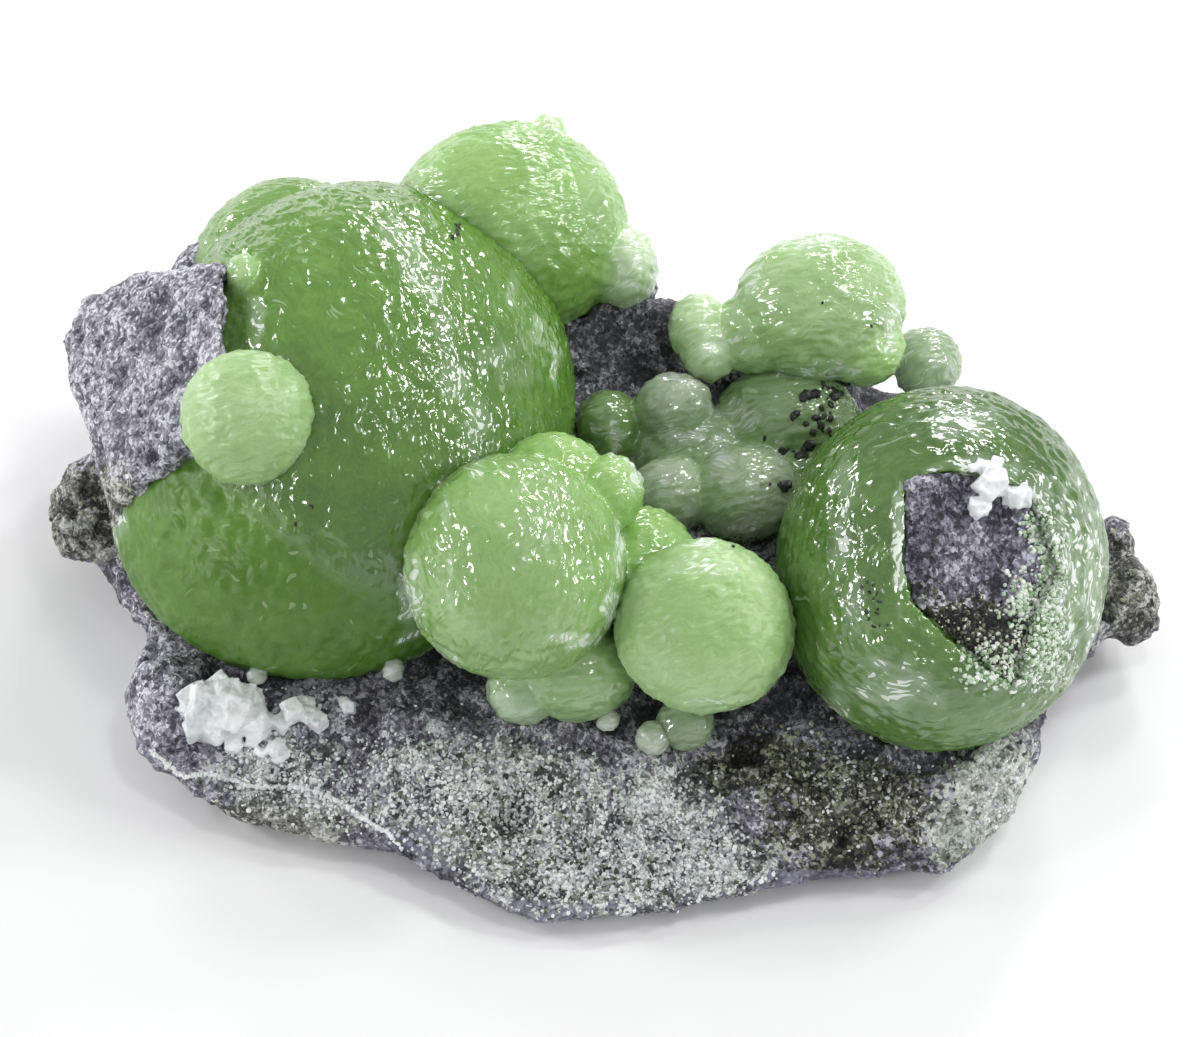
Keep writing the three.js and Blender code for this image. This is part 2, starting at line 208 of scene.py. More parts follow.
def setInputs(tree, node, inputs):  # to values, or to links from sockets or a node's first one
    for key, value in inputs.items():
        if isinstance(value, bpy.types.Node):
            value = value.outputs[0]
        if isinstance(value, bpy.types.NodeSocket):
            tree.links.new(value, node.inputs[key])
        else:
            node.inputs[key].default_value = value


def addNode(tree, kind, inputs=None, stops=(), **settings):  # stops: of a colour ramp
    made = tree.nodes.new("ShaderNode" + kind)
    for key, value in settings.items():
        setattr(made, key, value)
    setInputs(tree, made, inputs or {})
    for _ in stops[2:]:
        made.color_ramp.elements.new(0.5)
    for index, (position, colour) in enumerate(stops):
        made.color_ramp.elements[index].position = position
        made.color_ramp.elements[index].color = linear(colour)
    return made


def newMaterial(name):
    material = bpy.data.materials.new(name)
    material.use_nodes = True
    tree = material.node_tree
    tree.nodes.clear()
    shader = addNode(tree, "BsdfPrincipled")
    addNode(tree, "OutputMaterial", {"Surface": shader})
    metres = addNode(tree, "TexCoord").outputs["Object"]
    place = addNode(tree, "Mapping", {"Vector": metres, "Scale": (1000, 1000, 1000)})
    return material, tree, shader, place


# Prehnite. Its green comes from light scattered below a waxy skin. The skin is the ends of
# fine blades, 0.2 to 0.3 mm wide and 0.7 mm long, that lie in rings round each ball's pole. Each
# end faces its own way, so a highlight is a swarm of short white strokes, not a sheen. In
# frosted places some of the ends are white themselves, and along listed arcs white ends are
# painted highlight strokes. The real blades are finer: they are drawn as coarse as they need
# to show.
vividGreens = [(0, "3f690f"), (0.25, "5a8726"), (0.5, "78a548"), (0.75, "94bf6c"), (1, "bfdca2")]
dullGreens = [(0, "465e36"), (0.25, "628050"), (0.5, "809b6e"), (0.75, "a2bb94"), (1, "cfdfc6")]
bladeLie = (1.56, -1.3, 1.61)  # draws the cells of the blades out along the rings


def prehnite(name, look):
    material, tree, shader, place = newMaterial(name)
    tone, ring, frost, grey, matt = [
        addNode(tree, "Attribute", attribute_name=key).outputs["Fac"]
        for key in ("tone", "ring", "frost", "grey", "matt")
    ]
    waver = addNode(tree, "TexNoise", {"Vector": place, "Scale": 0.35, "Detail": 0})
    wavy = addNode(tree, "Math", {0: waver, 1: 3.6, 2: ring}, operation="MULTIPLY_ADD")
    combed = addNode(tree, "VectorMath", {0: wavy, 1: bladeLie, 2: place}, operation="MULTIPLY_ADD")
    blades = addNode(tree, "TexVoronoi", {"Vector": combed, "Scale": 1.5}).outputs["Color"]
    chance = addNode(tree, "SeparateColor", {"Color": blades}).outputs
    grain, cloud = [
        addNode(tree, "TexNoise", {"Vector": place, "Scale": scale, "Detail": 2, "Roughness": 0.6})
        for scale in (3.4, 0.16)
    ]
    shade = addNode(tree, "Math", {0: tone, 1: 0.305}, operation="SUBTRACT")  # half the weights
    for pattern, weight in ((cloud, 0.4), (grain, 0.14), (chance[1], 0.07)):
        shade = addNode(tree, "Math", {0: pattern, 1: weight, 2: shade}, operation="MULTIPLY_ADD")
    fleck = addNode(tree, "Math", {0: chance[0], 1: 0.99}, operation="GREATER_THAN")
    share = addNode(tree, "Math", {0: frost, 1: 1.1, 2: -0.16}, operation="MULTIPLY_ADD")
    frostAndGlintStrokes = addNode(tree, "Math", {0: share, 1: chance[2]}, operation="GREATER_THAN")
    vivid = addNode(tree, "ValToRGB", {"Fac": shade}, vividGreens)
    dull = addNode(tree, "ValToRGB", {"Fac": shade}, dullGreens)
    body = addNode(tree, "Mix", {0: grey, 6: vivid, 7: dull}, data_type="RGBA").outputs[2]
    # the frost share whitens blade ends: real frost in some places, painted highlight strokes along
    # the listed arcs and rims
    whites = ((fleck, 0.22, "dcecd0"), (frost, 0.5, "dcebdc"), (frostAndGlintStrokes, 0.7, "f2f8f4"))
    for amount, weight, tint in whites:
        amount = addNode(tree, "Math", {0: amount, 1: weight}, operation="MULTIPLY")
        whitened = {0: amount, 6: body, 7: linear(tint)}
        body = addNode(tree, "Mix", whitened, data_type="RGBA").outputs[2]
    rough = look["roughness"]
    for pattern, weight in ((grain, 0.16), (matt, 0.34)):
        rough = addNode(tree, "Math", {0: pattern, 1: weight, 2: rough}, operation="MULTIPLY_ADD")
    gleam = addNode(tree, "Math", {0: matt, 1: -0.45, 2: 0.85}, operation="MULTIPLY_ADD")
    facing = addNode(tree, "NewGeometry").outputs["Normal"]
    turned = addNode(tree, "VectorMath", {0: blades, 1: (0.5, 0.5, 0.5)}, operation="SUBTRACT")
    turned = addNode(tree, "VectorMath", {0: turned, "Scale": look["tilt"]}, operation="SCALE")
    facing = addNode(tree, "VectorMath", {0: turned, 1: facing}, operation="ADD")
    facing = addNode(tree, "VectorMath", {0: facing}, operation="NORMALIZE")
    shader.subsurface_method = "BURLEY"
    setInputs(tree, shader, {
        "Base Color": body, "Roughness": rough, "IOR": 1.62, "Specular IOR Level": gleam,
        "Subsurface Weight": 0.85, "Subsurface Radius": (0.8, 1, 0.45), "Subsurface Scale": 0.0018,
        "Transmission Weight": look["clear"], "Normal": facing,
    })
    return material


# How far the blades' ends tilt, how rough the smoothest of them are, how much light goes through.
waxyGreen = prehnite("waxy_green_prehnite", {"tilt": 0.27, "roughness": 0.07, "clear": 0})
glassyGreen = prehnite("glassy_green_prehnite", {"tilt": 0.42, "roughness": 0.02, "clear": 0.35})


# Balls. Each lobe has its middle and radii in millimetres, a seed for its unevenness, tones of
# its two sides and which way the second side is, painted light and shade across the lobe, the
# pole of its rings, and how grey, matt and frosted it is. A piece's mesh is the size of its faces.
# Its ruffles are the heights of ridges along the rings, of small bumps and of broad ones.
plainBall = {"pole": (0, 0.77, 0.64), "grey": 0, "matt": 0, "frost": 0}
# painted light: small lobes are made lighter at the top
litFromTop = (0, 0, 1)
calm, uneven, ridged = (0.15, 0.17, 0.1), (0.14, 0.16, 0.08), (0.16, 0.16, 0.08)
bumpSize, broadSize = 1, 3
ridgeLength, ridgeWidth, ridgeLie = 1.5, 0.55, (0.6, -0.5, 0.62)
ruffleRoom = 0.3  # of the ruffles' heights, by which a lobe is made smaller to keep its size
seamWidth = 0.35  # over which one lobe's looks pass into the next one's
mostFrostAndGlint = 0.95

# Cloudy white places and painted highlight strokes, as seen: across, up, half width, half height,
# amount.
glintAndCloudPlaces = [
    (-19.4, 26, 1.2, 1.7, 0.3), (-17.4, 23.4, 1.4, 1.9, 0.34), (-15.6, 21, 1.2, 1.7, 0.3),
    (-14.6, 17.4, 1.2, 2, 0.24), (-13.6, 12.6, 1.3, 2, 0.28), (-11.8, 9, 1.2, 2.2, 0.28),
    (-11.6, 5.4, 0.8, 1.5, 0.24), (-8.4, 20.6, 0.6, 1.7, 0.32), (-6.2, 17.4, 0.6, 1.9, 0.32),
    (-4.6, 14.2, 0.5, 1.9, 0.32), (-31.3, 18.4, 0.6, 1.9, 0.4), (-14.4, 0.6, 0.4, 2.3, 0.36),
    (-14, -5, 0.4, 2.9, 0.3), (-7.4, -3.5, 0.6, 0.7, 0.32), (-7.4, 2.8, 0.9, 0.5, 0.34),
    (-9.6, 14.8, 2, 1.6, 0.22), (-7.9, 13.4, 2, 1.3, 0.17), (-43.9, 0.6, 0.9, 2.6, 0.5),
    (-17.6, -7.4, 1.2, 4.2, 0.45), (-15.2, -12.6, 2.4, 1.2, 0.35), (-2.4, -10.7, 2.2, 0.7, 0.6),
    (0.3, -7.4, 0.8, 2, 0.6), (1.2, -2.6, 0.6, 2.8, 0.6), (-6, -0.4, 2.6, 2.8, 0.16),
    (-0.8, 29.4, 1.8, 5, 0.2), (26.4, -2.4, 0.6, 4.6, 0.6), (43.6, -4.6, 1.1, 7.5, 0.4),
    (38.8, -14, 6, 1.4, 0.35), (41.4, -4.6, 1.6, 8.6, 0.45), (8.9, -4.2, 3.4, 1.2, 0.25),
    (9.4, -16.4, 4, 1, 0.25), (10.8, 15.4, 2.6, 1.2, 0.25), (33.4, 4.7, 3.4, 1, 0.4),
    (38.9, 2.6, 1.4, 2, 0.4), (2.6, 4.2, 0.9, 1.8, 0.5), (10.4, 5.6, 1.3, 1.9, 0.5),
    (11, 9.8, 2, 1.4, 0.4), (8.8, -1.5, 1.1, 0.9, 0.75), (6.2, 12.9, 3, 0.6, 0.5),
    (-0.8, 8.6, 0.7, 2.8, 0.2), (6.4, 7.6, 2.4, 0.9, 0.4), (12.4, -0.2, 1.6, 0.7, 0.45),
    (5.4, 4, 0.6, 1.2, 0.35), (21.4, 3.6, 1.2, 2.2, 0.27), (21, -2, 1, 3.2, 0.27),
    (22.2, -7, 0.9, 2.6, 0.24), (12.3, 9, 1.4, 1.8, 0.5), (8.2, 7.7, 0.8, 0.6, 0.6),
    (0.7, 7.4, 0.7, 2, 0.45), (26.5, -14.8, 3.6, 2.4, 0.36), (32, 9, 3.4, 1.6, 0.4),
    (15.6, 6.4, 0.7, 1.6, 0.4), (21, -16, 1.4, 1.8, 0.3), (13.2, 21.4, 0.8, 3, 0.4),
    (18.4, 25, 4.6, 0.7, 0.4), (20.4, 13.4, 4, 0.8, 0.45), (25.6, 17.6, 0.7, 3, 0.45),
]


def ballMesh(bm, lobe, shrink):
    made = bmesh.ops.create_icosphere(bm, subdivisions=5, radius=1)["verts"]
    directions, seed = np.array([v.co.normalized() for v in made]), lobe["seed"]
    x, y, z = directions.T
    swell = 1 + (0.014 * (np.sin(2.3 * x + 1.7 * seed) * np.sin(2.1 * y + 2.9 * seed))
                 + 0.009 * np.sin(3.1 * z + 1.1 * seed + 1.4 * x))
    for vert, d, s in zip(made, directions, swell):
        vert.co = lobe["at"] + Vector([d[i] * (lobe["radii"][i] * s - shrink) for i in range(3)])


# cloudy places and painted highlight strokes, as a share of whitening at each point
def cloudAndGlintAt(points):
    across, up = asSeen(points)
    wander = noiseAt(points, 1.4, 11)
    cloudAndGlintShare = np.zeros(len(points))
    for *place, amount in glintAndCloudPlaces:
        px, py, rx, ry = place
        near = (np.abs(across - px) < 2 * rx) & (np.abs(up - py) < 2 * ry)
        reach = reachOf(across, up, place) + 0.7 * wander  # its edge is ragged and soft
        cloud = amount * np.clip((1.25 - reach) / 0.7, 0, 1)
        cloudAndGlintShare = np.where(near, np.maximum(cloudAndGlintShare, cloud), cloudAndGlintShare)
    return cloudAndGlintShare


def dressedBalls(name, piece):
    lobes = [{**plainBall, **lobe} for lobe in piece["lobes"]]
    ridges, bumps, broad = piece["ruffles"]
    bm = bmesh.new()
    for lobe in lobes:
        ballMesh(bm, lobe, ruffleRoom * sum(piece["ruffles"]))
    if "cut" in piece:
        point, normal = piece["cut"]
        whole = bm.verts[:] + bm.edges[:] + bm.faces[:]
        bmesh.ops.bisect_plane(bm, geom=whole, plane_co=point, plane_no=normal, clear_outer=True)
        bmesh.ops.edgeloop_fill(bm, edges=[e for e in bm.edges if e.is_boundary])
    made = newObject(name, bm)
    remeshed(made, piece["mesh"])
    smoothed(made, 2)
    points = perVertex(made, "co")
    reaches, rings, tones = [], [], []
    for lobe in lobes:
        radii = lobe["radii"]
        local = (points - np.array(lobe["at"])) / np.array(radii)
        reach = np.linalg.norm(local, axis=1)
        directions = local / np.maximum(reach, 1e-6)[:, None]
        pole = np.array(Vector(lobe["pole"]).normalized())
        low, high, axis = lobe["tones"]
        # painted light and shade: the lobe's tone runs lighter or darker towards one side, as light
        # falls on it
        paintedShading = 0.5 + 0.5 * directions @ np.array(Vector(axis).normalized())
        reaches.append((reach - 1) * min(radii))
        rings.append(np.arccos(np.clip(directions @ pole, -1, 1)) * sum(radii) / 3)
        tones.append(low + (high - low) * paintedShading)
    reaches = np.array(reaches)
    shares = np.exp(-(reaches - reaches.min(axis=0)) / seamWidth)
    shares /= shares.sum(axis=0)
    ring = np.array(rings)[reaches.argmin(axis=0), np.arange(len(points))]
    attribute(made, "tone", (shares * np.array(tones)).sum(axis=0))
    attribute(made, "ring", ring)
    grey, matt, frost = [
        (shares * np.array([lobe[key] for lobe in lobes])[:, None]).sum(axis=0)
        for key in ("grey", "matt", "frost")
    ]
    attribute(made, "grey", grey)
    attribute(made, "matt", matt)
    # the lobes' own frost plus the cloudy places and the painted highlight strokes
    attribute(made, "frost", np.clip(frost + cloudAndGlintAt(points), 0, mostFrostAndGlint))
    combed = points / ridgeLength + np.outer(ring / ridgeWidth, ridgeLie)
    ruffle = ridges * noiseAt(combed, 1, 3) + bumps * noiseAt(points, bumpSize, 5)
    ruffle = ruffle + broad * noiseAt(points, broadSize, 6)
    setPlaces(made, points + perVertex(made, "normal") * ruffle[:, None])
    remember(made)
    return made


def makeBalls(name, piece):
    finished(dressedBalls(name, piece), piece["finish"], piece["slot"], piece["node"])


# The great ball at the left, of two lobes grown together, deep green and paler along its top, where
# it is thin, with painted light on that side too.
leftUpper = {"at": seen(-21.7, 10.4, 20), "radii": (19.3, 23.2, 17.4), "seed": 1,
             "tones": (0, 0.3, (0.1, 0.75, 0.65)), "pole": (1, 0.1, 0), "grey": 0.12}
makeBalls("great_left_ball", {
    "finish": waxyGreen, "slot": "deep_green_prehnite", "node": "prehnite_left_mass",
    "mesh": 0.295, "ruffles": calm, "lobes": [
        leftUpper,
        {"at": seen(-26.4, 0.6, 16), "radii": (18.3, 15.8, 13.8), "seed": 2,
         "tones": (0.07, 0.2, (-0.3, 0.3, 0.9)), "pole": (1, 0.1, 0), "matt": 0.9},
        {"at": seen(-28, 21.2, 18), "radii": (9.9, 9.6, 10.6), "seed": 3,
         "tones": (0.25, 0.45, (-0.3, 0.5, 1)), "grey": 0.3},
        {"at": perched(-32.5, 21.9, leftUpper, -0.6), "radii": (1.7, 2.4, 2.4), "seed": 8,
         "tones": (0.7, 0.8, litFromTop), "grey": 0.4},
    ],
})
makeBalls("pale_left_ball", {
    "finish": waxyGreen, "slot": "deep_green_prehnite", "node": "prehnite_left_mass",
    "mesh": 0.2, "ruffles": calm, "lobes": [
        {"at": perched(-32.1, 9.3, leftUpper, 0.4), "radii": (6.2, 6.2, 6.1), "seed": 7,
         "tones": (0.72, 0.8, (0.2, 0.3, 1)), "grey": 0.4, "matt": 0.6},
    ],
})

backBall = {"at": seen(-8.8, 25.9, 24), "radii": (11.3, 10.3, 10.3), "seed": 4,
            "tones": (0.5, 0.7, (-0.2, 0.8, 0.5)), "pole": (0.1, 0.6, 0.5), "grey": 0.15,
            "matt": 0.25}
makeBalls("left_back_balls", {
    "finish": waxyGreen, "slot": "deep_green_prehnite", "node": "prehnite_left_mass",
    "mesh": 0.21, "ruffles": uneven, "lobes": [
        backBall,
        {"at": perched(-5.3, 34.9, backBall, -1), "radii": (1.9, 1.9, 1.7), "seed": 21,
         "tones": (0.9, 1, litFromTop), "frost": 0.4},
        {"at": seen(1.6, 22.6, 22.5), "radii": (3.3, 3.6, 4.6), "seed": 5,
         "tones": (0.8, 1, litFromTop), "frost": 0.3, "grey": 0.5},
    ],
})

# The pale ball in the middle, with the lobes on it, beside it and under it.
centreBall = {"at": seen(-8.4, -4.2, 23), "radii": (10.1, 10.3, 10.1), "seed": 6,
              "tones": (0.54, 0.62, (0.2, 0, 1)), "pole": (1, 0.1, 0), "grey": 0.3}
makeBalls("centre_balls", {
    "finish": waxyGreen, "slot": "deep_green_prehnite", "node": "prehnite_left_mass",
    "mesh": 0.21, "ruffles": calm, "lobes": [
        centreBall,
        {"at": perched(0.5, 2.6, centreBall, -1.5), "radii": (3.1, 3.5, 3.4), "seed": 9,
         "tones": (0.68, 0.78, litFromTop)},
        {"at": seen(-4.9, 3.6, 25.5), "radii": (5.2, 4.4, 4.4), "seed": 10,
         "tones": (0.6, 0.7, litFromTop)},
        {"at": seen(3, -4.4, 17.5), "radii": (5.4, 6, 5.6), "seed": 11,
         "tones": (0.6, 0.75, litFromTop)},
        {"at": seen(-2.6, -13.4, 13.6), "radii": (5.6, 4.8, 4.9), "seed": 12,
         "tones": (0.5, 0.65, litFromTop), "frost": 0.1, "grey": 0.5},
        {"at": seen(-7.6, -15.2, 12.3), "radii": (3.3, 3.3, 3.2), "seed": 13,
         "tones": (0.6, 0.8, litFromTop), "frost": 0.15, "grey": 1},
    ],
})
makeBalls("front_prehnite_ball", {
    "finish": waxyGreen, "slot": "pale_green_prehnite", "node": "prehnite_front_ball",
    "mesh": 0.18, "ruffles": calm, "lobes": [
        {"at": seen(8.9, -9.5, 19.6), "radii": (8.15, 7.9, 7.9), "seed": 14,
         "tones": (0.78, 0.78, (0, 0.3, 1)), "pole": (0, 0.8, 0.6), "grey": 0.3, "matt": 0.7},
    ],
})
makeBalls("upper_right_prehnite", {
    "finish": waxyGreen, "slot": "pale_green_prehnite", "node": "prehnite_upper_right_pair",
    "mesh": 0.18, "ruffles": ridged, "lobes": [
        {"at": seen(19.2, 19.1, 23), "radii": (8.1, 7.1, 6.8), "seed": 16,
         "tones": (0.7, 0.78, (0, 0.7, 0.6)), "pole": (0.2, 0.8, 0.5), "grey": 0.5},
        {"at": seen(23.2, 15.6, 21.4), "radii": (3.8, 3.8, 3.6), "seed": 17,
         "tones": (0.7, 0.85, litFromTop)},
        {"at": seen(14.2, 17, 21.4), "radii": (4.8, 4.4, 4.3), "seed": 22,
         "tones": (0.72, 0.82, litFromTop), "grey": 0.4},
        {"at": seen(9.3, 15.6, 20.4), "radii": (3.1, 3.3, 3.2), "seed": 18,
         "tones": (0.8, 1, litFromTop), "grey": 0.5},
        {"at": seen(8.3, 17.3, 21.3), "radii": (2.9, 3.4, 3.3), "seed": 19,
         "tones": (0.85, 1, litFromTop), "frost": 0.35},
    ],
})
makeBalls("middle_glassy_prehnite", {
    "finish": glassyGreen, "slot": "glassy_prehnite", "node": "prehnite_middle_cluster",
    "mesh": 0.18, "ruffles": calm, "lobes": [
        {"at": seen(0.3, 8.2, 15.5), "radii": (3.2, 3.7, 4.1), "seed": 30,
         "tones": (0.45, 0.6, litFromTop), "grey": 0.4},
        {"at": seen(6.1, 10.2, 17.8), "radii": (3.85, 3.4, 3.3), "seed": 31,
         "tones": (0.65, 0.95, (0, 0.4, 1)), "grey": 0.9, "frost": 0.12},
        {"at": seen(16.2, 8.9, 15.6), "radii": (7, 5.4, 5.4), "seed": 32,
         "tones": (0.5, 0.72, (-0.3, 0, 1)), "grey": 0.55},
        {"at": seen(5.7, 2.3, 15.2), "radii": (3.9, 3.6, 3.7), "seed": 33,
         "tones": (0.72, 0.95, litFromTop), "grey": 0.8},
        {"at": seen(12.5, 2.5, 15.3), "radii": (5.2, 4.6, 4.7), "seed": 34,
         "tones": (0.66, 0.9, litFromTop), "grey": 0.7},
        {"at": seen(8.4, 6.2, 14), "radii": (7, 4.6, 4.4), "seed": 35,
         "tones": (0.5, 0.7, litFromTop), "grey": 0.8},
        {"at": seen(17.4, 3.4, 13), "radii": (3.8, 3.8, 4.2), "seed": 36,
         "tones": (0.35, 0.5, litFromTop), "grey": 0.5},
    ],
})

# The right-hand ball, cut off along a plane and hollowed there round its knob of rock.
rightMiddle = seen(30.3, -4.2, 18.6)
breakNormal = Vector((0.16, -0.6, 0.78)).normalized()
breakFace = rightMiddle + breakNormal * 12.95
rightBall = {
    "finish": waxyGreen, "slot": "deep_green_prehnite", "node": "prehnite_right_ball",
    "mesh": 0.24, "ruffles": calm, "cut": (breakFace, breakNormal), "lobes": [
        {"at": rightMiddle, "radii": (15, 17.4, 14.9), "seed": 15,
         "tones": (0.2, 0, (0.1, 0.7, 0.7)), "pole": (0.16, -0.6, 0.78), "grey": 0.4},
    ],
    "window": [  # the hollow's outline, as seen
        (27, 3.9), (30, 4.5), (33.2, 4.5), (37.9, 2.7), (39.4, 0.1), (41, -4.8), (39, -8),
        (38.1, -10.7), (37.2, -15), (34, -13.2), (30.9, -10.7), (27.5, -7.2), (26.7, -3.5),
        (26.9, 0.1),
    ],
    "depth": 1.5,  # below the cut, and more in front of the knob's step
    "stepAt": seen(33, -9, 30.2), "stepGap": 0.9,
    "stepNormal": Vector((-0.1, -0.85, 0.5)).normalized(),
}


def insideOutline(across, up, outline):
    inside = np.zeros(len(across), bool)
    for (ax, ay), (bx, by) in zip(outline, outline[1:] + outline[:1]):
        crosses = (ay > up) != (by > up)
        edge = (bx - ax) * (up - ay) / (by - ay + 1e-12) + ax
        inside ^= crosses & (across < edge)
    return inside


def brokenBall(name, piece):
    made = dressedBalls(name, piece)
    points = perVertex(made, "co")
    across, up = asSeen(points)
    above = (points - np.array(breakFace)) @ np.array(breakNormal)
    inWindow = insideOutline(across, up, piece["window"]) & (above > -0.8)  # on the cut face
    stepNormal = piece["stepNormal"]
    step = piece["stepAt"] - stepNormal * piece["stepGap"]
    overStep = (points - np.array(step)) @ np.array(stepNormal)
    depth = np.maximum(piece["depth"], overStep / breakNormal.dot(stepNormal))
    points[inWindow] -= np.array(breakNormal) * depth[inWindow][:, None]
    setPlaces(made, points)
    remember(made)
    finished(made, piece["finish"], piece["slot"], piece["node"])


brokenBall("right_prehnite_ball", rightBall)

# Small balls that stand by themselves.
nodules = {
    "glassy_nodule": {"at": (28.8, 14.2, 15.5), "radius": 3.4, "tone": 0.75, "frost": 0.2},
    "ledge_nodule_large": {"at": (7.1, -18.1, 11.2), "radius": 2.7, "tone": 0.75, "frost": 0.1},
    "ledge_nodule_milky": {"at": (4.2, -19.5, 10.9), "radius": 1.7, "tone": 0.95, "frost": 0.5},
    "ledge_nodule_left": {"at": (0.1, -17.8, 11.2), "radius": 1.2, "tone": 0.95, "frost": 0.6},
    "ledge_nodule_under_ball": {"at": (-19.1, -13.4, 11.6), "radius": 1.15, "tone": 0.95,
                                "frost": 0.8},
    "ledge_nodule_far_left": {"at": (-31.3, -13.8, 10.6), "radius": 1.1, "tone": 0.95,
                              "frost": 0.8},
}
for index, (name, nodule) in enumerate(nodules.items()):
    radius, tone = nodule["radius"], nodule["tone"]
    makeBalls(name, {
        "finish": glassyGreen, "slot": "glassy_prehnite", "node": "prehnite_" + name,
        "mesh": 0.13 if radius < 2 else 0.17, "ruffles": calm, "lobes": [
            {"at": seen(*nodule["at"]), "radii": (radius,) * 3, "seed": 40 + index,
             "tones": (tone - 0.1, tone + 0.1, litFromTop), "grey": 0.8, "frost": nodule["frost"]},
        ],
    })


# Basalt, broken: grains of pale feldspar, dark pyroxene and olive alteration, 0.3 to 0.7 mm,
# matt. One kind of patch passes into the next grain by grain. Each kind has the colours of its
# grains, dark to light, and its places as seen: across, up, half width, half height.
freshBasalt = [(0.12, "2e2d34"), (0.38, "62606c"), (0.62, "8b8995"), (0.86, "cfced6")]
basaltPatches = {
    "speckle": {
        "stops": [(0.12, "3f3e49"), (0.38, "7d7b88"), (0.6, "a7a5b3"), (0.82, "e6e5ee")],
        "places": [(-41, 15.4, 11, 12), (-42, 7, 9, 5), (-41.5, -16, 4, 8)],
    },
    "chip": {
        "stops": [(0.15, "32322f"), (0.4, "6b6c68"), (0.62, "9b9c95"), (0.85, "d6d7d2")],
        "places": [(-47.5, 0.6, 5, 5), (47.8, -6, 4.5, 6), (-31, -27, 9, 2.6)],
    },
    "olive": {
        "stops": [(0.2, "121310"), (0.42, "3f4036"), (0.62, "717262"), (0.86, "c2c5b8")],
        "places": [(21.5, -25.4, 7, 5.8), (15.4, -22, 5, 3), (10, -23, 3, 2)],
    },
    "smooth": {
        "stops": [(0.1, "5d5b6b"), (0.5, "817f91"), (0.9, "a6a4b6")],
        "places": [(-15.8, -28.9, 5, 2.6), (-4.1, -34.9, 7, 1.2), (19.2, -32.5, 9, 1.1),
                   (20.8, -18, 3.4, 1.3), (-44, -21, 3, 1.6), (35.5, -30, 6, 1.6)],
    },
    # painted shade: darker rock in the crevices between the balls and on the ledge just under them
    "dark": {
        "stops": [(0.2, "25242b"), (0.55, "53515c"), (0.9, "a09eaa")],
        "places": [(1.7, 16.2, 6, 5), (-14.6, -13.4, 5, 3.2), (17, -16.4, 5, 3), (13, -2.2, 4, 2),
                   (20, 11, 4, 4), (-28, -14.4, 11, 1.8), (5, -18, 6, 2.4), (27, -20.2, 8, 1.4)],
    },
    "pale": {
        "stops": [(0.1, "6c7466"), (0.35, "a3aa9f"), (0.6, "ccd2ca"), (0.85, "eff2ee")],
        "places": [(35.4, -25, 4.6, 5.6), (31, -28, 2.4, 2.6), (4, -25, 2.4, 1.3)],
    },
    "knob": {
        "stops": [(0.15, "23222b"), (0.42, "5c5a69"), (0.68, "8c8a9a"), (0.9, "c8c6d4")],
        "places": [(33.4, -1.6, 8.6, 8)],
    },
    "coal": {
        "stops": [(0.25, "0e0e10"), (0.5, "2f302a"), (0.7, "62654c"), (0.88, "dde2d4")],
        "places": [(32, -11, 8, 4.2), (17.4, 8.2, 3, 4.4)],
    },
    "druse": {
        "stops": [(0.15, "3c3e3e"), (0.38, "7b7f7c"), (0.6, "b2b7b2"), (0.8, "f0f4f2")],
        "places": [(-30.2, -22.6, 5.4, 3), (-9.5, -25, 9, 5.4), (-0.5, -30.5, 12, 4.4),
                   (5, -27.8, 7, 6), (9.5, -30.5, 5, 3.4), (-17, -21.5, 3.4, 2)],
    },
}


def basaltMaterial(name):
    material, tree, shader, place = newMaterial(name)
    stir = addNode(tree, "TexNoise", {"Vector": place, "Scale": 1.2, "Detail": 2}).outputs["Color"]
    stirred = {0: stir, 1: (0.6, 0.6, 0.6), 2: place}
    stirred = addNode(tree, "VectorMath", stirred, operation="MULTIPLY_ADD")
    grains = []
    for scale in (2, 4.2):
        cells = addNode(tree, "TexVoronoi", {"Vector": stirred, "Scale": scale}).outputs["Color"]
        grains.append(addNode(tree, "SeparateColor", {"Color": cells}).outputs)
    coarse, fine = grains
    broad = {"Vector": place, "Scale": 0.3, "Detail": 4, "Roughness": 0.55}
    patchy = addNode(tree, "TexNoise", broad)
    # painted shade and light: the rock's colour is darker in its pits and low places and lighter on
    # its ridges
    relief = addNode(tree, "Attribute", attribute_name="relief").outputs["Fac"]
    value = -0.35  # half of the grains' and the patches' weights
    for pattern, weight in ((coarse[0], 0.5), (fine[1], 0.5), (patchy, 0.7), (relief, 0.34)):
        value = addNode(tree, "Math", {0: pattern, 1: weight, 2: value}, operation="MULTIPLY_ADD")
    colour = addNode(tree, "ValToRGB", {"Fac": value}, freshBasalt)
    chance = addNode(tree, "Math", {0: coarse[2], 1: -0.7, 2: 0.85}, operation="MULTIPLY_ADD")
    for kind, patch in basaltPatches.items():
        share = addNode(tree, "Attribute", attribute_name=kind).outputs["Fac"]
        chosen = addNode(tree, "Math", {0: share, 1: chance}, operation="GREATER_THAN")
        tint = addNode(tree, "ValToRGB", {"Fac": value}, patch["stops"])
        colour = addNode(tree, "Mix", {0: chosen, 6: colour, 7: tint}, data_type="RGBA").outputs[2]
    rough = addNode(tree, "Math", {0: fine[1], 1: 0.35, 2: 0.5}, operation="MULTIPLY_ADD")
    crumbly = {"Vector": place, "Scale": 2.2, "Detail": 3, "Roughness": 0.75}
    height = addNode(tree, "TexNoise", crumbly)
    bump = addNode(tree, "Bump", {"Height": height, "Strength": 0.9, "Distance": 0.0004})
    setInputs(tree, shader, {"Base Color": colour, "Roughness": rough, "Normal": bump})
    return material


